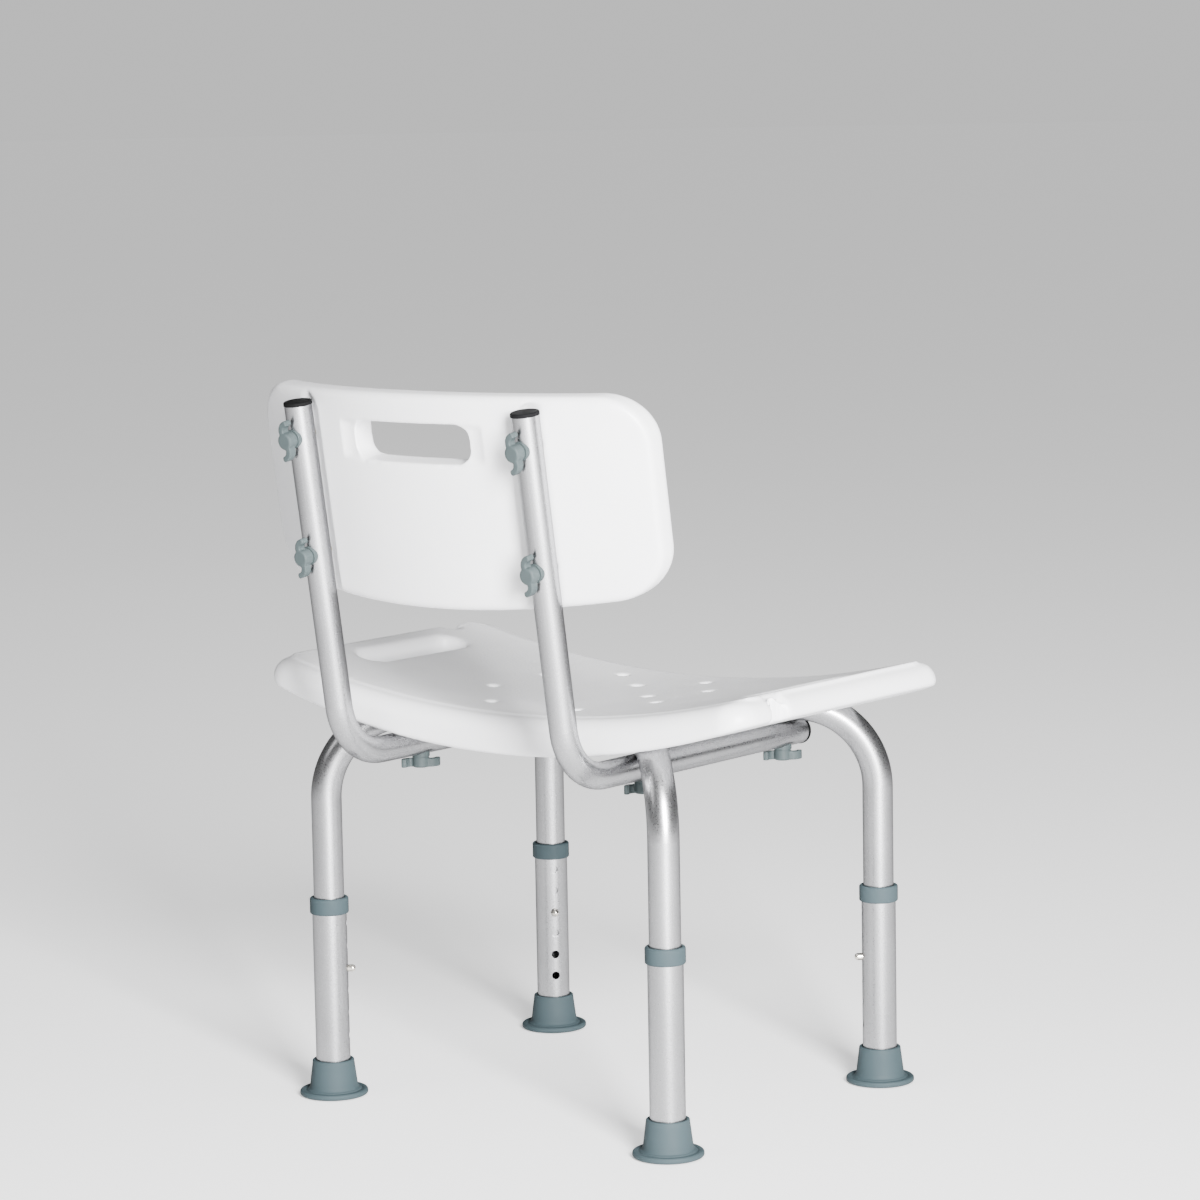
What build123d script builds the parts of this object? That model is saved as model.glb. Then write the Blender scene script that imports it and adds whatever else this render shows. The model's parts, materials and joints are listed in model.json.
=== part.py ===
from build123d import *
import os
from math import atan, cos, degrees, radians, sin

# Shower chair with a concave backrest and four telescopic legs. Millimetres.
# X runs to the sitter's left, Y to the rear, Z up. The chair is drawn about the middle of its
# four feet, and is moved at the end so that the origin lies under the middle of its whole box.

# ---- Stance and legs ----
FOOT_X = 176.0            # leg axis, out from the middle
FOOT_Y = 146.5            # leg axis, towards the front or the rear
LEG_HEADING = 41.0        # plan angle of each leg's top run, which points inwards
UPPER_OD = 25.4
LOWER_OD = 28.6
UPPER_WALL = 1.2
LOWER_WALL = 1.3
LEG_RUN_Z = 321.1         # centreline of the top run, inside the seat's channel
LEG_BEND = 70.0           # centreline radius of the leg's bend
LEG_RUN = 62.0            # straight length after the bend
UPPER_BOTTOM = 82.0       # open lower end of the upper tube, inside the lower tube
LOWER_TOP = 166.0

HOLE_PITCH = 19.05        # height setting step
HOLE_COUNT = 6
HOLE_DIA = 7.0
TOP_HOLE_Z = 144.6
BUTTON_Z = TOP_HOLE_Z - 2 * HOLE_PITCH    # the button stands in the third hole
BUTTON_DIA = 6.0
BUTTON_TIP = 20.6         # tip of the button, out from the leg's axis
BUTTON_BASE = 8.6         # inner face of the button's flange
BUTTON_HOLE = 6.6         # clearance hole in the upper tube

COLLAR_OD = 32.4
COLLAR_BOTTOM = 154.0
COLLAR_TOP = 167.6
SLIDE_GAP = 0.3           # radial gap between parts that slide over each other

FOOT_FLANGE_R = 28.5
FOOT_FLANGE_H = 4.6
FOOT_CONE_R = 20.2
FOOT_TOP_R = 17.4
FOOT_TOP_Z = 30.0
FOOT_FLOOR_Z = 8.2        # top of the washer that the tube stands on
FOOT_WASHER_H = 1.2

# ---- Seat ----
SEAT_HALF_X = 249.0
SEAT_HALF_Y = 143.0
SEAT_CORNER = 25.0
SEAT_TOP_Z = 334.2        # seating surface at the middle
SEAT_TOP_RISE = 33.5      # how much higher the surface is at the two ends
SEAT_BOTTOM_Z = 302.5
SEAT_BOTTOM_RISE = 41.8
SEAT_ROLL = 15.0          # radius of the rolled upper edge
SEAT_LOWER_EDGE = 4.5
PAD_STEP = 1.2            # the seating surface stands this much above the rolled edge
PAD_INSET_X = 11.0
PAD_INSET_Y = 19.0
SKIN = 3.0                # wall of the hollow mouldings
SEAT_RIM = 10.0           # thicker wall all round the seat, under the rolled edge
PANEL_RIM = 10.0          # the same round the backrest
INSERT_COVER = 1.5        # plastic over the inserts moulded into the backrest
GRIP_INNER_X = 190.0      # hand grip opening near each end of the seat
GRIP_OUTER_X = 221.0
GRIP_HALF_Y = 62.0
GRIP_CORNER = 14.0
HOSE_Y = 88.0             # notch for the shower hose, one at each end
HOSE_WIDTH = 7.0
HOSE_DEPTH = 14.0
HOSE_MOUTH = 8.0
DRAIN_DIA = 9.5
DRAIN_OUTER = [(44.0, 87.0), (85.5, 35.0)]    # repeated in all four quarters
DRAIN_INNER = 50.0        # four more holes on the axes, at this distance

# ---- Backrest and its tubes ----
BACK_OD = 22.2
BACK_WALL = 1.2
BACK_X = 116.4
BACK_RUN_Z = 297.0        # centreline of the run under the seat
BACK_FRONT_Y = -117.5
BACK_BEND = 50.0
BACK_TOP_Y = 232.7
BACK_TOP_Z = 586.2
LEAN = degrees(atan(0.157))
CAP_OD = 23.0
CAP_H = 3.0
CAP_PLUG = 10.0

# The backrest is drawn in the plane of the two leaning tubes: x across, y up along the tubes
# from their tops, z to the rear.
PANEL_HALF_X = 197.0
PANEL_TOP = 11.4
PANEL_SIDE_BOTTOM = -149.3
PANEL_CROWN = 2.5         # the top edge stands this much higher at the middle
PANEL_DROP = 5.0          # and this much lower at the ends
PANEL_BOW = 9.8           # the lower edge hangs this much lower at the middle
PANEL_CORNER = 40.0
PANEL_REAR = 8.5          # rear face at the middle, behind the tubes' plane
PANEL_RADIUS = 384.0      # plan radius of the rear face
PANEL_THICK = 24.0
PANEL_FRONT_EDGE = 9.0
PANEL_REAR_EDGE = 7.0
PANEL_SLOT_X = 58.7       # half width of the hand hole
PANEL_SLOT_Y = -25.0
PANEL_SLOT_H = 31.4
PANEL_SLOT_CORNER = 12.0
GROOVE_HALF = 14.5        # flat-bottomed groove that each tube lies in
GROOVE_TOP = 8.0
GROOVE_FLOOR = -11.7

# ---- Knobs, screws and inserts ----
KNOB_BASE = 12.6          # all distances are out from the tube's axis
KNOB_TOP = 22.0
KNOB_HUB_R = 6.8
WING_CENTRE = (6.8, -6.0)
WING_OUTER = 8.8
WING_INNER = 4.2
WING_LOW = 14.4
WING_HIGH = 21.6
WASHER_R = 7.6
SCREW_R = 3.0
SCREW_HEAD_R = 4.6
SCREW_HEAD_LOW = 16.5
SCREW_HEAD_HIGH = 19.8
SCREW_HOLE = 3.3          # radius of the clearance holes in the tubes
THREAD_GAP = 0.05
INSERT_R = 4.8
BACK_KNOBS_Y = [-25.5, -121.3]            # up along the tubes from their tops
BACK_INSERT_DEEP = 10.0
BACK_SCREW_END = -22.0
SEAT_INSERT_LOW = 334.4
SEAT_INSERT_HIGH = 339.2
SEAT_SCREW_END = BACK_RUN_Z - 339.0
KNOB_TURN_BACK = {"upper_left": 106.0, "lower_left": 102.0, "upper_right": 108.0, "lower_right": 104.0}
KNOB_TURN_SEAT = {"rear_left": 146.0, "front_left": 158.0, "rear_right": 138.0, "front_right": 150.0}

# ---- Clamps that hold the leg tubes in the seat ----
CLAMP_AT = 122.0          # along the leg's run, from the leg's axis
CLAMP_LENGTH = 54.0
CLAMP_WIDTH = 15.0
CLAMP_HIGH = LEG_RUN_Z - UPPER_OD / 2
CLAMP_THICK = 2.5
CLAMP_GAP = 0.5           # round the plate in its pocket
CLAMP_BOSS_H = 8.0
CLAMP_SCREW_AT = 20.5
CLAMP_SCREW_R = 2.0
CLAMP_SCREW_TOP = 322.0
CLAMP_BOSS_R = 7.5

QUARTERS = {
    "front_left": (1, -1),
    "front_right": (-1, -1),
    "rear_left": (1, 1),
    "rear_right": (-1, 1),
}
SIDES = {"left": 1, "right": -1}
CROSSING = (FOOT_X - BACK_X) / cos(radians(LEG_HEADING))    # where a back tube passes under a leg
CROSSING_Y = FOOT_Y - CROSSING * sin(radians(LEG_HEADING))


# ---- Frames ----
def leg_frame(quarter):
    """Frame of one leg: x points inwards along the top run, z up."""
    sx, sy = quarter
    heading = Vector(-sx * cos(radians(LEG_HEADING)), -sy * sin(radians(LEG_HEADING)), 0)
    return Plane(origin=(sx * FOOT_X, sy * FOOT_Y, 0), x_dir=heading, z_dir=(0, 0, 1))


BACK_FRAME = Plane(
    origin=(0, BACK_TOP_Y, BACK_TOP_Z),
    x_dir=(-1, 0, 0),
    z_dir=(0, cos(radians(LEAN)), -sin(radians(LEAN))),
)


def back_knob_frame(side, height):
    """Frame of a backrest knob: z points out from the tube's axis, to the rear."""
    return BACK_FRAME * Pos(-side * BACK_X, height, 0)


def seat_knob_frame(quarter):
    """Frame of a knob under the seat: z points down from the tube's axis."""
    sx, sy = quarter
    return Plane(origin=(sx * BACK_X, sy * CROSSING_Y, BACK_RUN_Z), x_dir=(1, 0, 0), z_dir=(0, 0, -1))


# ---- Small shapes ----
def rod(radius, low, high):
    """Cylinder on the z axis between two heights."""
    return Pos(0, 0, low) * Cylinder(radius, high - low, align=(Align.CENTER, Align.CENTER, Align.MIN))


def rod_x(radius, low, high):
    """Cylinder on the x axis between two places."""
    return Rot(0, 90, 0) * rod(radius, low, high)


def block(low, high):
    """Box between two corners."""
    size = [b - a for a, b in zip(low, high)]
    return Pos(*low) * Box(*size, align=(Align.MIN, Align.MIN, Align.MIN))


def broad_faces(plate):
    """The lower and the upper of a plate's two largest faces."""
    return plate.faces().sort_by(SortBy.AREA)[-2:].sort_by(Axis.Z)


def bar_along(points, bend, radius):
    """Round bar that follows straight runs joined by arcs."""
    path = FilletPolyline(*points, radius=bend)
    return sweep(Plane(origin=path @ 0, z_dir=path % 0) * Circle(radius), path=path)


def tube_along(points, bend, outer, wall):
    return bar_along(points, bend, outer / 2) - bar_along(points, bend, outer / 2 - wall)


# ---- Legs, each drawn in its own leg frame ----
def leg_path(extra=0.0):
    return [(0, 0, UPPER_BOTTOM), (0, 0, LEG_RUN_Z), (LEG_BEND + LEG_RUN + extra, 0, LEG_RUN_Z)]


def upper_leg_tube():
    tube = tube_along(leg_path(), LEG_BEND, UPPER_OD, UPPER_WALL)
    tube -= Pos(0, 0, BUTTON_Z) * rod_x(BUTTON_HOLE / 2, 5, 20)
    tube -= Pos(CROSSING, 0, 0) * rod(SCREW_HOLE, LEG_RUN_Z - 20, LEG_RUN_Z + 20)
    return tube


def lower_leg_tube():
    tube = rod(LOWER_OD / 2, FOOT_FLOOR_Z, LOWER_TOP) - rod(LOWER_OD / 2 - LOWER_WALL, 0, LOWER_TOP + 1)
    for step in range(HOLE_COUNT):
        tube -= Pos(0, 0, TOP_HOLE_Z - step * HOLE_PITCH) * rod_x(HOLE_DIA / 2, 5, 20)
    return tube


def leg_collar():
    body = rod(COLLAR_OD / 2, COLLAR_BOTTOM, COLLAR_TOP)
    body = fillet(body.edges(), 1.6)
    body -= rod(LOWER_OD / 2, COLLAR_BOTTOM - 1, LOWER_TOP)
    body -= rod(UPPER_OD / 2 + SLIDE_GAP, LOWER_TOP - 1, COLLAR_TOP + 1)
    return body


def rubber_foot():
    with BuildPart() as foot:
        with BuildSketch(Plane.XZ) as section:
            with BuildLine():
                Polyline(
                    (0, 0),
                    (FOOT_FLANGE_R, 0),
                    (FOOT_FLANGE_R, FOOT_FLANGE_H),
                    (FOOT_CONE_R, FOOT_FLANGE_H + 1.4),
                    (FOOT_TOP_R, FOOT_TOP_Z),
                    (0, FOOT_TOP_Z),
                    close=True,
                )
            make_face()
            outer = section.vertices().filter_by(lambda v: v.X > FOOT_TOP_R - 1)
            fillet([v for v in outer if v.X > FOOT_FLANGE_R - 1], 1.9)
            fillet([v for v in section.vertices() if abs(v.X - FOOT_TOP_R) < 0.01], 1.3)
            fillet([v for v in section.vertices() if abs(v.X - FOOT_CONE_R) < 0.01], 1.2)
        revolve(axis=Axis.Z)
    body = foot.part
    body -= rod(LOWER_OD / 2, FOOT_FLOOR_Z - FOOT_WASHER_H, FOOT_TOP_Z + 1)
    body -= rod(13.0, -1, 2.2) - rod(9.0, -1, 2.2)
    return body


def foot_washer():
    return rod(LOWER_OD / 2 - 0.1, FOOT_FLOOR_Z - FOOT_WASHER_H, FOOT_FLOOR_Z)


def snap_button():
    shaft = rod_x(BUTTON_DIA / 2, BUTTON_BASE, BUTTON_TIP)
    shaft = fillet(shaft.edges().sort_by(Axis.X)[-1], BUTTON_DIA / 2 - 0.3)
    return Pos(0, 0, BUTTON_Z) * (shaft + rod_x(4.2, BUTTON_BASE, BUTTON_BASE + 1.7))


def button_spring():
    """Folded strip of spring steel. One arm backs the button, the other leans on the far wall."""
    thick = 0.7
    near = BUTTON_BASE - thick / 2
    far = -10.3
    bottom = BUTTON_Z - 6
    points = [
        (near, 0, bottom),
        (near, 0, BUTTON_Z + 10),
        (-1.0, 0, BUTTON_Z + 38),
        (far, 0, BUTTON_Z + 8),
        (far, 0, bottom),
    ]
    path = FilletPolyline(*points, radius=3.0)
    return sweep(Plane(origin=path @ 0, x_dir=(1, 0, 0), z_dir=path % 0) * Rectangle(thick, 7.0), path=path)


# ---- Seat ----
def seat_blank(half_x, half_y, corner, top, top_rise, bottom, bottom_rise):
    """Plate with a curved top and a curved underside, cut to a rounded outline."""
    end = SEAT_HALF_X
    over = 1.02
    top_end = top + top_rise * over**2
    bottom_end = bottom + bottom_rise * over**2
    with BuildSketch(Plane.XZ) as side:
        with BuildLine():
            upper = ThreePointArc((-end * over, top_end), (0, top), (end * over, top_end))
            lower = ThreePointArc((-end * over, bottom_end), (0, bottom), (end * over, bottom_end))
            Line(upper @ 0, lower @ 0)
            Line(upper @ 1, lower @ 1)
        make_face()
    slab = extrude(side.sketch, half_y + 10, both=True)
    outline = Pos(0, 0, bottom - 50) * extrude(RectangleRounded(2 * half_x, 2 * half_y, corner), 200)
    return slab & outline


def grip_opening(grow=0.0):
    """Hand grip opening at both ends."""
    middle = (GRIP_INNER_X + GRIP_OUTER_X) / 2
    wide = GRIP_OUTER_X - GRIP_INNER_X + 2 * grow
    long = 2 * GRIP_HALF_Y + 2 * grow
    hole = Pos(0, 0, 280) * extrude(RectangleRounded(wide, long, GRIP_CORNER + grow), 120)
    return [Pos(side * middle, 0, 0) * hole for side in (1, -1)]


def hose_notch(grow=0.0):
    """Narrow notch with a flared mouth, near the front at the left end and near the rear at the right."""
    width = HOSE_WIDTH + 2 * grow
    throat = SEAT_HALF_X - HOSE_DEPTH + HOSE_WIDTH / 2
    flare = HOSE_WIDTH / 2 + HOSE_MOUTH
    with BuildSketch() as plan:
        with Locations((throat, 0)):
            Circle(width / 2)
        with BuildLine():
            Polyline(
                (throat, -width / 2),
                (SEAT_HALF_X - HOSE_MOUTH, -width / 2),
                (SEAT_HALF_X + 0.5, -flare - grow),
                (SEAT_HALF_X + 0.5, flare + grow),
                (SEAT_HALF_X - HOSE_MOUTH, width / 2),
                (throat, width / 2),
                close=True,
            )
        make_face()
    cut = Pos(0, -HOSE_Y, 280) * extrude(plan.sketch, 120)
    return [cut, Rot(0, 0, 180) * cut]


def drain_places():
    outer = [(sx * x, sy * y) for x, y in DRAIN_OUTER for sx in (1, -1) for sy in (1, -1)]
    inner = [(DRAIN_INNER, 0), (-DRAIN_INNER, 0), (0, DRAIN_INNER), (0, -DRAIN_INNER)]
    return outer + inner


def leg_channel(grow=0.0):
    """Room for one leg in the seat's underside, open downwards, in the leg frame."""
    radius = UPPER_OD / 2 + SLIDE_GAP + grow
    end = LEG_BEND + LEG_RUN + SLIDE_GAP + grow
    bar = bar_along(leg_path(SLIDE_GAP + grow), LEG_BEND, radius)
    open_down = block((LEG_BEND * 0.62, -radius, 270), (end, radius, LEG_RUN_Z))
    return bar + open_down


def clamp_plate():
    low = CLAMP_HIGH - CLAMP_THICK
    half = CLAMP_WIDTH / 2
    long = CLAMP_LENGTH / 2
    return block((CLAMP_AT - half, -long, low), (CLAMP_AT + half, long, CLAMP_HIGH))


def clamp_pocket(grow=0.0):
    """Room for a clamp plate in the seat's underside."""
    half = CLAMP_WIDTH / 2 + CLAMP_GAP + grow
    long = CLAMP_LENGTH / 2 + CLAMP_GAP + grow
    return block((CLAMP_AT - half, -long, 280), (CLAMP_AT + half, long, CLAMP_HIGH + grow))


def clamp_screw_places():
    return [(CLAMP_AT, -CLAMP_SCREW_AT), (CLAMP_AT, CLAMP_SCREW_AT)]


def seat_void():
    """Hollow inside of the blow-moulded seat."""
    void = seat_blank(
        SEAT_HALF_X - SEAT_RIM,
        SEAT_HALF_Y - SEAT_RIM,
        SEAT_CORNER - SEAT_RIM,
        SEAT_TOP_Z - PAD_STEP - SKIN,
        SEAT_TOP_RISE,
        SEAT_BOTTOM_Z + SKIN,
        SEAT_BOTTOM_RISE,
    )
    keep = grip_opening(SKIN) + hose_notch(SKIN)
    keep += [Pos(x, y, 0) * rod(DRAIN_DIA / 2 + SKIN, 280, 380) for x, y in drain_places()]
    for quarter in QUARTERS.values():
        frame = leg_frame(quarter)
        keep.append(frame * leg_channel(SKIN))
        keep.append(frame * (Pos(CROSSING, 0, 0) * rod(INSERT_R + SKIN, 280, 380)))
        keep += [frame * (Pos(x, y, 0) * rod(CLAMP_BOSS_R, 280, 380)) for x, y in clamp_screw_places()]
        keep.append(frame * clamp_pocket(SKIN))
    return void - keep


def seat_panel():
    rolled = seat_blank(
        SEAT_HALF_X,
        SEAT_HALF_Y,
        SEAT_CORNER,
        SEAT_TOP_Z - PAD_STEP,
        SEAT_TOP_RISE,
        SEAT_BOTTOM_Z,
        SEAT_BOTTOM_RISE,
    )
    rolled = fillet(broad_faces(rolled)[1].edges(), SEAT_ROLL)
    rolled = fillet(broad_faces(rolled)[0].edges(), SEAT_LOWER_EDGE)
    pad = seat_blank(
        SEAT_HALF_X - PAD_INSET_X,
        SEAT_HALF_Y - PAD_INSET_Y,
        SEAT_CORNER - PAD_INSET_X,
        SEAT_TOP_Z,
        SEAT_TOP_RISE,
        SEAT_TOP_Z - 12,
        SEAT_TOP_RISE,
    )
    seat = rolled + pad
    seat -= seat_void()
    seat -= grip_opening() + hose_notch()
    for x, y in drain_places():
        seat -= Pos(x, y, 0) * rod(DRAIN_DIA / 2, 280, 380)
    for quarter in QUARTERS.values():
        frame = leg_frame(quarter)
        seat -= frame * clamp_pocket()
        for x, y in clamp_screw_places():
            seat += frame * (Pos(x, y, 0) * rod(CLAMP_BOSS_R, CLAMP_HIGH, CLAMP_HIGH + CLAMP_BOSS_H))
        for x, y in clamp_screw_places():
            seat -= frame * (Pos(x, y, 0) * rod(CLAMP_SCREW_R, 280, CLAMP_SCREW_TOP + 1))
        seat -= frame * leg_channel()
        seat -= frame * (Pos(CROSSING, 0, 0) * rod(INSERT_R, LEG_RUN_Z, SEAT_INSERT_HIGH + 0.3))
    return seat


# ---- Backrest ----
def panel_outline(inset=0.0):
    """Face of the backrest: slightly crowned top, bowed lower edge, round corners."""
    half = PANEL_HALF_X - inset
    top = PANEL_TOP - inset
    side = PANEL_SIDE_BOTTOM + inset
    low = PANEL_SIDE_BOTTOM - PANEL_BOW + inset
    with BuildSketch() as face:
        with BuildLine():
            Line((-half, side), (-half, top - PANEL_DROP))
            ThreePointArc((-half, top - PANEL_DROP), (0, top + PANEL_CROWN), (half, top - PANEL_DROP))
            Line((half, top - PANEL_DROP), (half, side))
            ThreePointArc((half, side), (0, low), (-half, side))
        make_face()
        fillet(face.vertices(), PANEL_CORNER - inset)
    return face.sketch


def panel_blank(rim=0.0, wall=0.0):
    """Curved plate between two concentric arcs, cut to the outline."""
    middle = PANEL_REAR - PANEL_RADIUS
    rear = rod(PANEL_RADIUS - wall, -250, 80)
    front = rod(PANEL_RADIUS - PANEL_THICK + wall, -250, 80)
    # the arcs' axis runs up along the tubes, which is y here
    plate = Pos(0, 0, middle) * (Rot(-90, 0, 0) * (rear - front))
    window = Pos(0, 0, -90) * extrude(panel_outline(rim), 110)
    return plate & window


def panel_slot(grow=0.0):
    hole = RectangleRounded(2 * (PANEL_SLOT_X + grow), PANEL_SLOT_H + 2 * grow, PANEL_SLOT_CORNER + grow)
    return Pos(0, PANEL_SLOT_Y, -60) * extrude(hole, 90)


def tube_groove(side, grow=0.0):
    """Flat-bottomed groove with an arched top, open at the panel's lower edge."""
    half = GROOVE_HALF + grow
    top = GROOVE_TOP + grow
    arch = Pos(0, top - half, 0) * rod(half, GROOVE_FLOOR - grow, 30)
    run = block((-half, -200, GROOVE_FLOOR - grow), (half, top - half, 30))
    return Pos(side * BACK_X, 0, 0) * (arch + run)


def panel_insert_bore(side, height, radius, low, high):
    return Pos(side * BACK_X, height, 0) * rod(radius, low, high)


def backrest_panel():
    panel = panel_blank()
    panel = fillet(broad_faces(panel)[1].edges(), PANEL_REAR_EDGE)
    panel = fillet(broad_faces(panel)[0].edges(), PANEL_FRONT_EDGE)
    void = panel_blank(PANEL_RIM, SKIN + 1) - panel_slot(SKIN)
    insert_low = GROOVE_FLOOR - BACK_INSERT_DEEP
    for side in (1, -1):
        void -= tube_groove(side, SKIN)
        for height in BACK_KNOBS_Y:
            void -= panel_insert_bore(side, height, INSERT_R + SKIN, insert_low - 2 * SKIN, 30)
    panel -= void
    panel -= panel_slot()
    for side in (1, -1):
        panel -= tube_groove(side)
        for height in BACK_KNOBS_Y:
            panel -= panel_insert_bore(side, height, INSERT_R, insert_low, GROOVE_FLOOR - INSERT_COVER)
            panel -= panel_insert_bore(side, height, SCREW_HOLE, BACK_SCREW_END - 1.5, 0)
    return BACK_FRAME * panel


# ---- Back tubes ----
def back_tube(side):
    foot_of_lean = BACK_TOP_Y - (BACK_TOP_Z - BACK_RUN_Z) * sin(radians(LEAN)) / cos(radians(LEAN))
    points = [
        (side * BACK_X, BACK_FRONT_Y, BACK_RUN_Z),
        (side * BACK_X, foot_of_lean, BACK_RUN_Z),
        (side * BACK_X, BACK_TOP_Y, BACK_TOP_Z),
    ]
    tube = tube_along(points, BACK_BEND, BACK_OD, BACK_WALL)
    for height in BACK_KNOBS_Y:
        tube -= back_knob_frame(side, height) * rod(SCREW_HOLE, -15, 15)
    for sy in (1, -1):
        tube -= seat_knob_frame((side, sy)) * rod(SCREW_HOLE, -15, 15)
    return tube


def tube_cap():
    """Plastic plug for a tube's open end. Its head stands on z = 0."""
    head = fillet(rod(CAP_OD / 2, 0, CAP_H).edges().sort_by(Axis.Z)[-1], 1.2)
    plug = rod(BACK_OD / 2 - BACK_WALL - 0.05, -CAP_PLUG, 0)
    return head + plug


def top_cap(side):
    up = Vector(0, sin(radians(LEAN)), cos(radians(LEAN)))
    return Plane(origin=(side * BACK_X, BACK_TOP_Y, BACK_TOP_Z), x_dir=(1, 0, 0), z_dir=up) * tube_cap()


def front_cap(side):
    end = (side * BACK_X, BACK_FRONT_Y, BACK_RUN_Z)
    return Plane(origin=end, x_dir=(1, 0, 0), z_dir=(0, -1, 0)) * tube_cap()


# ---- Knobs, drawn on the z axis with z = 0 at the tube's axis ----
def wing_knob(turn):
    hub = fillet(rod(KNOB_HUB_R, KNOB_BASE, KNOB_TOP).edges().sort_by(Axis.Z)[-1], 1.5)
    x, y = WING_CENTRE
    ring = Pos(x, y, 0) * (rod(WING_OUTER, WING_LOW, WING_HIGH) - rod(WING_INNER, WING_LOW, WING_HIGH))
    quarter_arc = block((x, y - 1.5, 0), (30, y + WING_OUTER + 1, 30))
    root = block((1.0, -0.5, 0), (x, y + WING_OUTER + 1, 30))
    wing = fillet((ring & quarter_arc).edges().filter_by(Axis.Z).sort_by(Axis.Y)[:2], 1.6) + (ring & root)
    knob = hub + wing + Rot(0, 0, 180) * wing
    knob -= rod(SCREW_R + THREAD_GAP, 0, SCREW_HEAD_LOW + 1)
    knob -= rod(SCREW_HEAD_R, SCREW_HEAD_LOW, SCREW_HEAD_HIGH)
    return Rot(0, 0, turn) * knob


def knob_screw(end):
    return rod(SCREW_R, end, SCREW_HEAD_LOW) + rod(SCREW_HEAD_R, SCREW_HEAD_LOW, SCREW_HEAD_HIGH)


def saddle_washer():
    """Washer whose underside fits round the tube, which runs along y."""
    ring = rod(WASHER_R, 8.0, KNOB_BASE) - rod(SCREW_HOLE, 0, 20)
    return ring - Rot(90, 0, 0) * rod(BACK_OD / 2 + 0.05, -20, 20)


def threaded_insert(low, high):
    return rod(INSERT_R, low, high) - rod(SCREW_R + THREAD_GAP, low - 1, high + 1)


def clamp():
    plate = fillet(clamp_plate().edges().filter_by(Axis.Z), 4.0)
    for x, y in clamp_screw_places():
        plate -= Pos(x, y, 0) * rod(CLAMP_SCREW_R + 0.3, 280, 330)
    return plate


def clamp_screw():
    head_high = CLAMP_HIGH - CLAMP_THICK
    head = fillet(rod(4.0, head_high - 2.6, head_high).edges().sort_by(Axis.Z)[0], 1.4)
    return head + rod(CLAMP_SCREW_R - 0.05, head_high - 0.5, CLAMP_SCREW_TOP)


# ---- Whole chair ----
def build():
    nodes = {"seat_panel": seat_panel(), "backrest_panel": backrest_panel()}
    leg_parts = {
        "upper_leg_tube": upper_leg_tube(),
        "lower_leg_tube": lower_leg_tube(),
        "leg_collar": leg_collar(),
        "rubber_foot": rubber_foot(),
        "foot_washer": foot_washer(),
        "snap_button": snap_button(),
        "button_spring": button_spring(),
    }
    clamps = []
    clamp_screws = []
    seat_inserts = []
    washers = []
    for quarter_name, quarter in QUARTERS.items():
        frame = leg_frame(quarter)
        for part_name, shape in leg_parts.items():
            nodes[f"{part_name}_{quarter_name}"] = frame * shape
        clamps.append(frame * clamp())
        clamp_screws += [frame * (Pos(x, y, 0) * clamp_screw()) for x, y in clamp_screw_places()]
        insert = threaded_insert(SEAT_INSERT_LOW, SEAT_INSERT_HIGH)
        seat_inserts.append(frame * (Pos(CROSSING, 0, 0) * insert))
        knob_frame = seat_knob_frame(quarter)
        nodes[f"seat_knob_{quarter_name}"] = knob_frame * wing_knob(KNOB_TURN_SEAT[quarter_name])
        nodes[f"seat_screw_{quarter_name}"] = knob_frame * knob_screw(SEAT_SCREW_END)
        washers.append(knob_frame * saddle_washer())

    panel_inserts = []
    for side_name, side in SIDES.items():
        nodes[f"back_tube_{side_name}"] = back_tube(side)
        nodes[f"top_cap_{side_name}"] = top_cap(side)
        nodes[f"front_cap_{side_name}"] = front_cap(side)
        for level, height in zip(("upper", "lower"), BACK_KNOBS_Y):
            name = f"{level}_{side_name}"
            knob_frame = back_knob_frame(side, height)
            nodes[f"back_knob_{name}"] = knob_frame * wing_knob(KNOB_TURN_BACK[name])
            nodes[f"back_screw_{name}"] = knob_frame * knob_screw(BACK_SCREW_END)
            washers.append(knob_frame * saddle_washer())
            insert_low, insert_high = GROOVE_FLOOR - BACK_INSERT_DEEP, GROOVE_FLOOR - INSERT_COVER
            panel_inserts.append(knob_frame * threaded_insert(insert_low, insert_high))

    nodes["saddle_washers"] = Compound(washers)
    nodes["seat_inserts"] = Compound(seat_inserts)
    nodes["backrest_inserts"] = Compound(panel_inserts)
    nodes["leg_clamps"] = Compound(clamps)
    nodes["leg_clamp_screws"] = Compound(clamp_screws)
    return nodes


def middle_offset(nodes):
    """Move that brings the middle of the whole box over the origin, front to rear."""
    boxes = [shape.bounding_box() for shape in nodes.values()]
    front = min(box.min.Y for box in boxes)
    rear = max(box.max.Y for box in boxes)
    return -(front + rear) / 2


NODES = build()
SHIFT_Y = middle_offset(NODES)
os.makedirs("parts", exist_ok=True)
for node_name, node_shape in NODES.items():
    export_step(Pos(0, SHIFT_Y, 0) * node_shape, f"parts/{node_name}.step")
print(f"{len(NODES)} nodes, moved {SHIFT_Y:.3f} mm along Y")
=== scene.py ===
"""Visual model of a shower chair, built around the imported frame."""

import json
import math

import bmesh
import bpy
import numpy as np
from mathutils import Matrix, Vector

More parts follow.
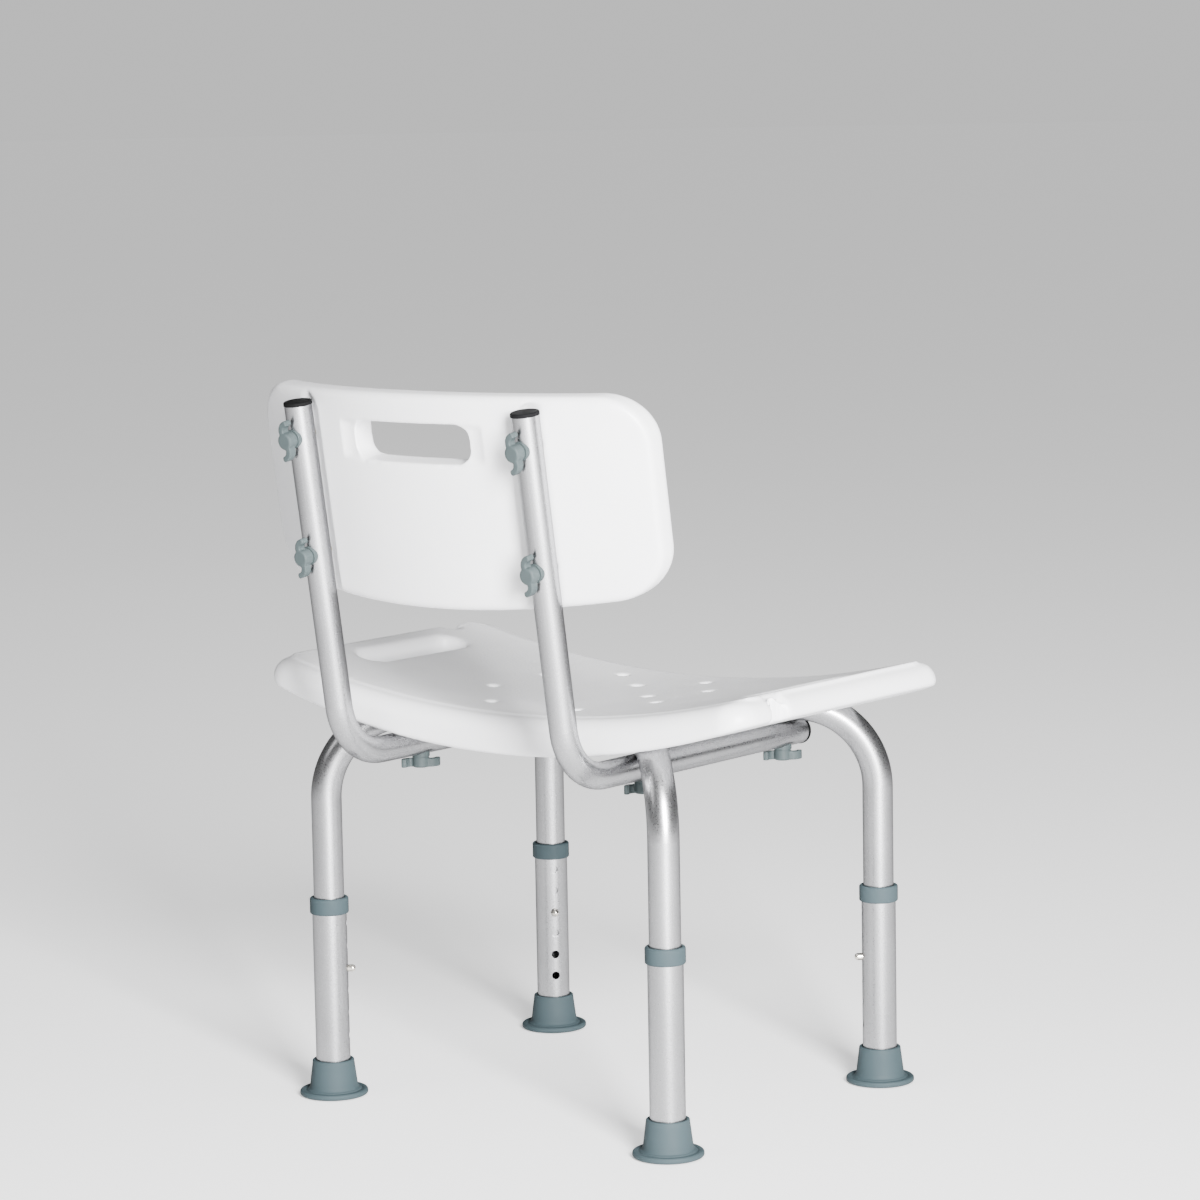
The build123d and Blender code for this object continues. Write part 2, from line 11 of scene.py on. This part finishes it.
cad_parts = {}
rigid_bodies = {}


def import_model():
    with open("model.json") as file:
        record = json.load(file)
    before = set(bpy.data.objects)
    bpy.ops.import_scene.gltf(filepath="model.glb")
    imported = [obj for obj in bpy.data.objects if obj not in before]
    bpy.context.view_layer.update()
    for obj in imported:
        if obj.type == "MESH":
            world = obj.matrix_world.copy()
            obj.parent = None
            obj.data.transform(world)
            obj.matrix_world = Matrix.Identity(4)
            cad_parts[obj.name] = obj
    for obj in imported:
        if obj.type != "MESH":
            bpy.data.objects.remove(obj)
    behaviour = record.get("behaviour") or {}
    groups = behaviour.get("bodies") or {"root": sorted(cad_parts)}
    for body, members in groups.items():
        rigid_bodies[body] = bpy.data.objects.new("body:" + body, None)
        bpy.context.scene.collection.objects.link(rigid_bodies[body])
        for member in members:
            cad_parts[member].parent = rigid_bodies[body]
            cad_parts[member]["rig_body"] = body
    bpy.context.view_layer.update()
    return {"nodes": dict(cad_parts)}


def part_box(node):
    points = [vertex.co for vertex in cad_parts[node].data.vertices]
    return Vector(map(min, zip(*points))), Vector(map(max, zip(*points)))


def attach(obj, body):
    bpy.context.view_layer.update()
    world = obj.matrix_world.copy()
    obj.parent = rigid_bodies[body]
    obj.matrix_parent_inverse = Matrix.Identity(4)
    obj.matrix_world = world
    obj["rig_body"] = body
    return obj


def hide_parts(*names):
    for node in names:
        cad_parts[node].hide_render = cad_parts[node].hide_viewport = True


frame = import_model()

MM = 0.001
QUARTERS = ["front_left", "front_right", "rear_left", "rear_right"]
KNOB_PLACES = {"back": ["upper_left", "upper_right", "lower_left", "lower_right"], "seat": QUARTERS}

# Sizes in millimetres, with Y from the middle of the four feet; SHIFT_Y moves it to the frame's own.
FOOT_MIDDLE = (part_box("rubber_foot_front_left")[0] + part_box("rubber_foot_rear_left")[1]) / 2
SHIFT_Y = FOOT_MIDDLE.y / MM
PANEL_FACE = 1.4                # size of the even faces of the seat and the backrest
KNOB_FACE = 0.45
SEAT_HALF = (249.0, 143.0)
SEAT_CORNER = 25.0
PAD_INSET = (11.0, 19.0)        # plain border round the pebbled field, at the ends and at front and rear
GRIP_MIDDLE = (205.5, 0.0)
GRIP_HALF = (15.5, 62.0)
GRIP_CORNER = 14.0
GRIP_FADE = (2.0, 13.0)         # distances between which the extra rounding of an edge fades out
HOSE_PLACE = (242.0, -88.0)     # middle of the left hose notch; the right one is opposite
HOSE_FADE = (14.0, 24.0)
HOSE_THROAT_X = 238.5           # centre of the notch's round end
HOSE_HALF_WIDTH = 3.5
LIP_REACH = 13.0                # how far the rolled lips of a hose notch reach
LIP_DROP = 7.0
LIP_DRAW = 5.0
LIP_WALL = (9.0, 2.0)           # distances from the seat's end between which its wall starts to be drawn in
DRAIN_RADIUS = 4.75
DRAIN_FADE = (1.0, 5.0)
DRAINS = [(sx * x, sy * y) for x, y in ((44.0, 87.0), (85.5, 35.0)) for sx in (1, -1) for sy in (1, -1)]
DRAINS += [(50.0, 0.0), (-50.0, 0.0), (0.0, 50.0), (0.0, -50.0)]
BACK_TOP = (0.0, 232.7, 586.2)  # where the backrest's own axes start
LEAN = math.atan(0.157)         # its lean
PANEL_REAR = 8.5                # its rear face at the middle, and that face's radius in plan
PANEL_RADIUS = 384.0
SLOT_HALF_X = 58.7              # the hand hole
SLOT_MIDDLE = -25.0
SLOT_HALF_HEIGHT = 15.7
SLOT_CORNER = 12.0
SLOT_FADE = (2.0, 7.0)
SCOOP_LENGTH = 14.0             # the hollow beside each end of the hand hole
SCOOP_DEPTH = 3.0

# The camera, with angles in degrees and its distance in metres.
CAMERA_AZIMUTH = 218.462
CAMERA_ELEVATION = 7.824
CAMERA_ROLL = -1.026
CAMERA_DISTANCE = 3.3867
CAMERA_AIM = (0.0, SHIFT_Y, 380.0)
CAMERA_LENS = 122.98
CAMERA_SHIFT = (0.0003, 0.0316)


# ---------------------------------------------------------------- materials
def new_material(name):
    material = bpy.data.materials.new(name)
    material.use_nodes = True
    tree = material.node_tree
    shader = next(n for n in tree.nodes if n.type == "BSDF_PRINCIPLED")
    return material, tree, shader


def add_noise(tree, scale, detail=2.0, roughness=0.5):
    """Noise in the row frame; scale is in features per metre."""
    place = tree.nodes.new("ShaderNodeTexCoord")
    noise = tree.nodes.new("ShaderNodeTexNoise")
    noise.inputs["Scale"].default_value = scale
    noise.inputs["Detail"].default_value = detail
    noise.inputs["Roughness"].default_value = roughness
    tree.links.new(place.outputs["Object"], noise.inputs["Vector"])
    return noise.outputs["Fac"]


def ramp(tree, value, low, high):
    """Spreads noise, which mostly lies between 0.3 and 0.7, over a range of numbers."""
    node = tree.nodes.new("ShaderNodeMapRange")
    node.inputs["From Min"].default_value = 0.3
    node.inputs["From Max"].default_value = 0.7
    node.inputs["To Min"].default_value = low
    node.inputs["To Max"].default_value = high
    tree.links.new(value, node.inputs["Value"])
    return node.outputs["Result"]


def colour_between(tree, value, dark, light):
    node = tree.nodes.new("ShaderNodeMix")
    node.data_type = "RGBA"
    node.inputs["A"].default_value = (*dark, 1)
    node.inputs["B"].default_value = (*light, 1)
    tree.links.new(value, node.inputs["Factor"])
    return node.outputs["Result"]


def bump(tree, height, strength, distance, before=None):
    """Bumps distance metres high; strength is a number or a socket."""
    node = tree.nodes.new("ShaderNodeBump")
    node.inputs["Distance"].default_value = distance
    if isinstance(strength, float):
        node.inputs["Strength"].default_value = strength
    else:
        tree.links.new(strength, node.inputs["Strength"])
    tree.links.new(height, node.inputs["Height"])
    if before is not None:
        tree.links.new(before, node.inputs["Normal"])
    return node.outputs["Normal"]


def moulded_plastic(name, dark, light, rough, grain, grain_depth, specular=0.5, pebble=False):
    """Moulded plastic or rubber: faint clouds, fine grain and uneven gloss, and pebbles where marked."""
    material, tree, shader = new_material(name)
    cloud = ramp(tree, add_noise(tree, 9.0, 4.0), 0.0, 1.0)
    tree.links.new(colour_between(tree, cloud, dark, light), shader.inputs["Base Color"])
    worn = add_noise(tree, 60.0, 5.0, 0.6)
    tree.links.new(ramp(tree, worn, rough - 0.06, rough + 0.08), shader.inputs["Roughness"])
    normal = bump(tree, add_noise(tree, grain, 3.0, 0.6), 0.25, grain_depth)
    if pebble:
        mask = tree.nodes.new("ShaderNodeAttribute")
        mask.attribute_name = "pebble"
        cells = tree.nodes.new("ShaderNodeTexVoronoi")
        cells.feature = "SMOOTH_F1"
        cells.inputs["Scale"].default_value = 420.0
        cells.inputs["Smoothness"].default_value = 0.6
        place = tree.nodes.new("ShaderNodeTexCoord")
        tree.links.new(place.outputs["Object"], cells.inputs["Vector"])
        normal = bump(tree, cells.outputs["Distance"], mask.outputs["Fac"], 0.0009, normal)
    tree.links.new(normal, shader.inputs["Normal"])
    shader.inputs["Specular IOR Level"].default_value = specular
    return material


def drawn_metal(name, dark, light, rough, tint=1.0, scale=900.0):
    """Metal with a fine drawn or blasted surface."""
    material, tree, shader = new_material(name)
    shader.inputs["Metallic"].default_value = 1.0
    cloud = ramp(tree, add_noise(tree, 14.0, 4.0), 0.0, 1.0)
    tree.links.new(colour_between(tree, cloud, dark, light), shader.inputs["Base Color"])
    shader.inputs["Specular Tint"].default_value = (tint, tint, tint, 1)
    fine = add_noise(tree, scale, 3.0, 0.6)
    tree.links.new(ramp(tree, fine, rough - 0.05, rough + 0.07), shader.inputs["Roughness"])
    tree.links.new(bump(tree, fine, 0.12, 0.0002), shader.inputs["Normal"])
    return material


WHITE = moulded_plastic(
    "white_moulding", (0.80, 0.80, 0.815), (0.86, 0.86, 0.87), 0.36, 350.0, 0.0004, pebble=True
)
KNOB_GREY = moulded_plastic(
    "knob_nylon", (0.042, 0.056, 0.058), (0.054, 0.070, 0.072), 0.52, 1400.0, 0.0002, 0.22
)
FOOT_GREY = moulded_plastic(
    "foot_rubber", (0.030, 0.046, 0.052), (0.040, 0.058, 0.065), 0.66, 1100.0, 0.0003, 0.18
)
BLACK = moulded_plastic(
    "black_plastic", (0.004, 0.004, 0.004), (0.008, 0.008, 0.009), 0.75, 1200.0, 0.0002, 0.06
)
ALUMINIUM = drawn_metal("anodised_tube", (0.39, 0.39, 0.40), (0.45, 0.45, 0.46), 0.29, tint=0.4)
CHROME = drawn_metal("button_plating", (0.70, 0.67, 0.60), (0.76, 0.73, 0.66), 0.16, scale=2000.0)
BRASS = drawn_metal("insert_brass", (0.62, 0.46, 0.20), (0.72, 0.55, 0.27), 0.3)
ZINC = drawn_metal("zinc_plate", (0.50, 0.50, 0.52), (0.60, 0.60, 0.61), 0.3)

# The first entry whose start fits a node's name gives its material.
FINISH = [
    ("seat_panel", WHITE),
    ("backrest_panel", WHITE),
    ("upper_leg_tube", ALUMINIUM),
    ("lower_leg_tube", ALUMINIUM),
    ("back_tube", ALUMINIUM),
    ("rubber_foot", FOOT_GREY),
    ("leg_collar", FOOT_GREY),
    ("seat_knob", KNOB_GREY),
    ("back_knob", KNOB_GREY),
    ("top_cap", BLACK),
    ("front_cap", BLACK),
    ("saddle_washers", KNOB_GREY),
    ("snap_button", CHROME),
    ("seat_inserts", BRASS),
    ("backrest_inserts", BRASS),
    ("", ZINC),
]
for node_name, node_object in frame["nodes"].items():
    finish = next(material for start, material in FINISH if node_name.startswith(start))
    node_object.data.materials.clear()
    node_object.data.materials.append(finish)


# ---------------------------------------------------------------- mesh tools
def place_piece(piece, node, material):
    """Gives a finished piece its material and body, and lets it stand for its CAD node."""
    piece.data.materials.clear()
    piece.data.materials.append(material)
    piece.data.polygons.foreach_set("use_smooth", [True] * len(piece.data.polygons))
    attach(piece, frame["nodes"][node]["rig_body"])
    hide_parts(node)


def outer_shell(mesh):
    """A copy of a closed mesh without the walls of its sealed inside."""
    work = bmesh.new()
    work.from_mesh(mesh)
    bmesh.ops.remove_doubles(work, verts=work.verts, dist=1e-6)
    left = set(work.verts)
    shells = []
    while left:
        todo = [left.pop()]
        shell = []
        while todo:
            vert = todo.pop()
            shell.append(vert)
            for edge in vert.link_edges:
                other = edge.other_vert(vert)
                if other in left:
                    left.remove(other)
                    todo.append(other)
        shells.append(shell)
    shells.sort(key=lambda s: max(v.co.x for v in s) - min(v.co.x for v in s))
    for shell in shells[:-1]:
        bmesh.ops.delete(work, geom=shell, context="VERTS")
    copy = bpy.data.meshes.new(mesh.name + "_outer")
    work.to_mesh(copy)
    work.free()
    return copy


def evened(node, name, face):
    """A piece with the node's outer shape, in even faces of that size in millimetres."""
    piece = bpy.data.objects.new(name, outer_shell(frame["nodes"][node].data))
    bpy.context.scene.collection.objects.link(piece)
    remesh = piece.modifiers.new("even", "REMESH")
    remesh.mode = "VOXEL"
    remesh.voxel_size = face * MM
    graph = bpy.context.evaluated_depsgraph_get()
    mesh = bpy.data.meshes.new_from_object(piece.evaluated_get(graph))
    piece.modifiers.clear()
    piece.data = mesh
    return piece


def points_of(mesh):
    co = np.empty(len(mesh.vertices) * 3, np.float64)
    mesh.vertices.foreach_get("co", co)
    return co.reshape(-1, 3)


def set_points(mesh, co):
    mesh.vertices.foreach_set("co", co.astype(np.float32).ravel())
    mesh.update()


def relax(mesh, passes, weight=None):
    """Moves each point towards the middle of its neighbours, which rounds the edges."""
    co = points_of(mesh)
    count = len(co)
    ends = np.empty(len(mesh.edges) * 2, np.int64)
    mesh.edges.foreach_get("vertices", ends)
    a, b = ends[0::2], ends[1::2]
    degree = np.bincount(a, minlength=count) + np.bincount(b, minlength=count)
    share = 0.5 / np.maximum(degree, 1)
    if weight is not None:
        share = share * weight
    for _ in range(passes):
        for k in range(3):
            c = co[:, k]
            total = np.bincount(a, c[b], count) + np.bincount(b, c[a], count)
            co[:, k] = c + share * (total - degree * c)
    set_points(mesh, co)


def smoothstep(low, high, value):
    t = np.clip((value - low) / (high - low), 0.0, 1.0)
    return t * t * (3 - 2 * t)


def rounded_box_distance(x, y, middle, half, corner):
    """Signed distance to a rounded rectangle's outline, negative inside."""
    qx = np.abs(x - middle[0]) - (half[0] - corner)
    qy = np.abs(y - middle[1]) - (half[1] - corner)
    outside = np.hypot(np.maximum(qx, 0), np.maximum(qy, 0))
    return outside + np.minimum(np.maximum(qx, qy), 0) - corner


def set_field(mesh, name, values):
    """Keeps one number for each point, for a material to read."""
    field = mesh.attributes.new(name, "FLOAT", "POINT")
    field.data.foreach_set("value", np.asarray(values, np.float32))


def normals_of(mesh):
    flat = np.empty(len(mesh.vertices) * 3, np.float32)
    mesh.vertices.foreach_get("normal", flat)
    return flat.reshape(-1, 3)


def softened_corners(profile, radius):
    """The closed profile with each corner rounded off by a short curve."""
    points = [np.array(p, float) for p in profile]
    out = []
    for i, corner in enumerate(points):
        before, after = points[i - 1], points[(i + 1) % len(points)]
        if corner[0] < 1e-6:
            out.append(corner)
            continue
        legs = []
        for other in (before, after):
            run = np.linalg.norm(other - corner)
            legs.append(corner + (other - corner) / run * min(radius, run * 0.45))
        for step in range(5):
            t = step / 4
            out.append((1 - t) ** 2 * legs[0] + 2 * t * (1 - t) * corner + t * t * legs[1])
    return out


def turned(name, profile, place, radius=0.6, sides=96):
    """Solid of revolution about the vertical through place, from a closed profile of (radius, height)."""
    section = softened_corners(profile, radius)
    rows = len(section)
    verts, faces = [], []
    for i in range(sides):
        turn = 2 * math.pi * i / sides
        for r, z in section:
            x, y = place[0] + r * math.cos(turn), place[1] + r * math.sin(turn)
            verts.append(Vector((x, y, place[2] + z)) * MM)
    for i in range(sides):
        for j in range(rows):
            k, n = (i + 1) % sides, (j + 1) % rows
            faces.append((i * rows + j, k * rows + j, k * rows + n, i * rows + n))
    mesh = bpy.data.meshes.new(name)
    mesh.from_pydata(verts, [], faces)
    work = bmesh.new()
    work.from_mesh(mesh)
    bmesh.ops.remove_doubles(work, verts=work.verts, dist=1e-7)
    bmesh.ops.dissolve_degenerate(work, edges=work.edges, dist=1e-7)
    bmesh.ops.recalc_face_normals(work, faces=work.faces)
    work.to_mesh(mesh)
    work.free()
    piece = bpy.data.objects.new(name, mesh)
    bpy.context.scene.collection.objects.link(piece)
    return piece


# ---------------------------------------------------------------- seat
def roll_hose_lips(mesh):
    """Rolls the edges of the two hose notches over, down at the top and in at the end wall."""
    co = points_of(mesh) / MM
    up = normals_of(mesh)[:, 2]
    for side in (1, -1):
        x, y = side * co[:, 0], side * (co[:, 1] - SHIFT_Y) - HOSE_PLACE[1]
        past_throat = np.minimum(x - HOSE_THROAT_X, 0.0)
        close = 1 - smoothstep(0.0, LIP_REACH, np.hypot(y, past_throat) - HOSE_HALF_WIDTH)
        co[:, 2] -= LIP_DROP * close**2 * smoothstep(0.2, 0.8, up)
        outer = smoothstep(SEAT_HALF[0] - LIP_WALL[0], SEAT_HALF[0] - LIP_WALL[1], x)
        co[:, 0] -= side * LIP_DRAW * close**2 * outer
    set_points(mesh, co * MM)
    relax(mesh, 2)


def make_seat():
    seat = evened("seat_panel", "seat_moulding", PANEL_FACE)
    mesh = seat.data
    co = points_of(mesh) / MM
    x, y = co[:, 0], co[:, 1] - SHIFT_Y
    from_grip = np.abs(rounded_box_distance(np.abs(x), y, GRIP_MIDDLE, GRIP_HALF, GRIP_CORNER))
    near_grip = 1 - smoothstep(*GRIP_FADE, from_grip)
    near_hose = np.zeros(len(x))
    for side in (1, -1):
        away = np.hypot(x - side * HOSE_PLACE[0], y - side * HOSE_PLACE[1])
        near_hose = np.maximum(near_hose, 1 - smoothstep(*HOSE_FADE, away))
    near_drain = np.zeros(len(x))
    for hole_x, hole_y in DRAINS:
        away = np.hypot(x - hole_x, y - hole_y) - DRAIN_RADIUS
        near_drain = np.maximum(near_drain, 1 - smoothstep(*DRAIN_FADE, away))
    relax(mesh, 3)
    relax(mesh, 26, near_grip)
    relax(mesh, 10, near_hose)
    relax(mesh, 3, near_drain)
    roll_hose_lips(mesh)
    co = points_of(mesh) / MM
    pad = rounded_box_distance(
        co[:, 0],
        co[:, 1] - SHIFT_Y,
        (0.0, 0.0),
        (SEAT_HALF[0] - PAD_INSET[0], SEAT_HALF[1] - PAD_INSET[1]),
        SEAT_CORNER - PAD_INSET[0],
    )
    up = normals_of(mesh)[:, 2]
    set_field(mesh, "pebble", smoothstep(0.6, 0.85, up) * (1 - smoothstep(-3.0, -1.0, pad)) * 0.35)
    place_piece(seat, "seat_panel", WHITE)


# ---------------------------------------------------------------- backrest
def make_backrest():
    backrest = evened("backrest_panel", "backrest_moulding", PANEL_FACE)
    mesh = backrest.data
    relax(mesh, 4)
    top = np.array(BACK_TOP) + np.array([0, SHIFT_Y, 0])
    up = np.array([0, math.sin(LEAN), math.cos(LEAN)])
    rear = np.array([0, math.cos(LEAN), -math.sin(LEAN)])
    co = points_of(mesh) / MM - top
    across, high, out = co[:, 0], co @ up, co @ rear
    centre = PANEL_REAR - PANEL_RADIUS
    rear_face = centre + np.sqrt(PANEL_RADIUS**2 - across**2)
    # the rear face is scooped a little at the hand hole's ends
    along = np.clip((np.abs(across) - SLOT_HALF_X) / SCOOP_LENGTH, 0, 1)
    beside = 1 - smoothstep(SLOT_HALF_HEIGHT - 5, SLOT_HALF_HEIGHT + 2, np.abs(high - SLOT_MIDDLE))
    depth = SCOOP_DEPTH * (1 - along * along) * beside
    new_out = np.where(depth > 0.02, np.minimum(out, rear_face - depth), out)
    co += np.outer(new_out - out, rear)
    set_points(mesh, (co + top) * MM)
    slot_half = (SLOT_HALF_X, SLOT_HALF_HEIGHT)
    from_slot = rounded_box_distance(across, high, (0.0, SLOT_MIDDLE), slot_half, SLOT_CORNER)
    relax(mesh, 5, 1 - smoothstep(*SLOT_FADE, from_slot))
    facing = -(normals_of(mesh) @ rear)
    set_field(mesh, "pebble", smoothstep(0.6, 0.85, facing) * 0.55)
    place_piece(backrest, "backrest_panel", WHITE)


# ---------------------------------------------------------------- feet, collars and knobs
# Closed profiles as radius and height above the floor.
FOOT_PROFILE = [
    (0.0, 0.0),
    (8.6, 0.0),
    (9.2, 2.2),
    (12.8, 2.2),
    (13.4, 0.0),
    (18.4, 0.0),
    (18.9, 1.2),
    (20.9, 1.2),
    (21.4, 0.0),
    (27.4, 0.0),
    (28.5, 1.0),
    (28.5, 3.6),
    (27.3, 4.7),
    (24.4, 4.7),
    (23.9, 4.1),
    (22.9, 4.1),
    (22.4, 4.9),
    (20.9, 5.6),
    (20.0, 8.2),
    (17.5, 28.0),
    (17.4, 29.4),
    (16.6, 30.0),
    (15.2, 30.0),
    (14.36, 29.2),
    (14.36, 7.0),
    (0.0, 7.0),
]
COLLAR_PROFILE = [
    (14.36, 154.0),
    (15.3, 154.0),
    (16.2, 154.9),
    (16.2, 166.5),
    (15.4, 167.6),
    (13.1, 167.6),
    (13.0, 166.05),
    (14.36, 166.0),
]
for quarter in QUARTERS:
    low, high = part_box(f"rubber_foot_{quarter}")
    axis = ((low.x + high.x) / 2 / MM, (low.y + high.y) / 2 / MM, 0.0)
    foot = turned(f"foot_boot_{quarter}", FOOT_PROFILE, axis)
    place_piece(foot, f"rubber_foot_{quarter}", FOOT_GREY)
    collar = turned(f"collar_ring_{quarter}", COLLAR_PROFILE, axis, 0.45)
    place_piece(collar, f"leg_collar_{quarter}", FOOT_GREY)

for prefix, places in KNOB_PLACES.items():
    for place in places:
        knob = evened(f"{prefix}_knob_{place}", f"{prefix}_wing_{place}", KNOB_FACE)
        relax(knob.data, 5)
        place_piece(knob, f"{prefix}_knob_{place}", KNOB_GREY)

make_seat()
make_backrest()


# ---------------------------------------------------------------- floor, light and camera
def lighter_when_seen(tree, strength, given, extra):
    """A glow of strength given, which looks brighter by extra, so that the backdrop is pale."""
    glow = tree.nodes.new("ShaderNodeMath")
    glow.operation = "MULTIPLY_ADD"
    glow.inputs[1].default_value = extra
    glow.inputs[2].default_value = given
    seen = tree.nodes.new("ShaderNodeLightPath").outputs["Is Camera Ray"]
    tree.links.new(seen, glow.inputs[0])
    tree.links.new(glow.outputs[0], strength)


def make_floor():
    mesh = bpy.data.meshes.new("floor")
    work = bmesh.new()
    bmesh.ops.create_circle(work, cap_ends=True, segments=128, radius=60.0)
    work.to_mesh(mesh)
    work.free()
    floor = bpy.data.objects.new("floor", mesh)
    floor.location.z = -0.0006
    bpy.context.scene.collection.objects.link(floor)
    material, tree, shader = new_material("pale_floor")
    shade = ramp(tree, add_noise(tree, 1.5, 2.0), 0.0, 1.0)
    colour = colour_between(tree, shade, (0.88, 0.88, 0.885), (0.9, 0.9, 0.905))
    tree.links.new(colour, shader.inputs["Base Color"])
    shader.inputs["Roughness"].default_value = 0.9
    shader.inputs["Emission Color"].default_value = (1.0, 1.0, 1.0, 1)
    lighter_when_seen(tree, shader.inputs["Emission Strength"], 0.08, 0.5)
    mesh.materials.append(material)


def direction(azimuth, elevation):
    """Towards a place round the chair, with azimuth 0 in front of it and 90 at its left."""
    a, e = math.radians(azimuth), math.radians(elevation)
    return Vector((math.sin(a) * math.cos(e), -math.cos(a) * math.cos(e), math.sin(e)))


def add_softbox(name, azimuth, elevation, distance, size, watts):
    """A rectangular light that points at the middle of the chair."""
    lamp = bpy.data.lights.new(name, "AREA")
    lamp.shape = "RECTANGLE"
    lamp.size, lamp.size_y = size
    lamp.energy = watts
    box = bpy.data.objects.new(name, lamp)
    toward = direction(azimuth, elevation)
    box.location = MIDDLE + toward * distance
    box.rotation_euler = toward.to_track_quat("Z", "Y").to_euler()
    bpy.context.scene.collection.objects.link(box)


def make_camera():
    lens = bpy.data.cameras.new("camera")
    lens.sensor_fit = "HORIZONTAL"
    lens.sensor_width = 36.0
    lens.lens = CAMERA_LENS
    lens.shift_x, lens.shift_y = CAMERA_SHIFT
    lens.clip_end = 200.0
    camera = bpy.data.objects.new("camera", lens)
    aim = Vector(CAMERA_AIM) * MM
    back = direction(CAMERA_AZIMUTH, CAMERA_ELEVATION)
    look = back.to_track_quat("Z", "Y").to_matrix().to_4x4()
    roll = Matrix.Rotation(math.radians(CAMERA_ROLL), 4, "Z")
    camera.matrix_world = Matrix.Translation(aim + back * CAMERA_DISTANCE) @ look @ roll
    bpy.context.scene.collection.objects.link(camera)
    bpy.context.scene.camera = camera


MIDDLE = Vector((0, 0, 0.35))
make_floor()
add_softbox("key", 236.0, 16.0, 3.4, (0.9, 1.9), 680.0)
add_softbox("fill", 150.0, 30.0, 3.4, (1.0, 1.4), 12.0)
add_softbox("top", 200.0, 80.0, 3.0, (2.4, 2.4), 30.0)
world = bpy.data.worlds.new("studio")
bpy.context.scene.world = world
world.use_nodes = True
sky = world.node_tree.nodes["Background"]
sky.inputs["Color"].default_value = (1.0, 1.0, 1.0, 1)
lighter_when_seen(world.node_tree, sky.inputs["Strength"], 0.17, 0.55)
make_camera()
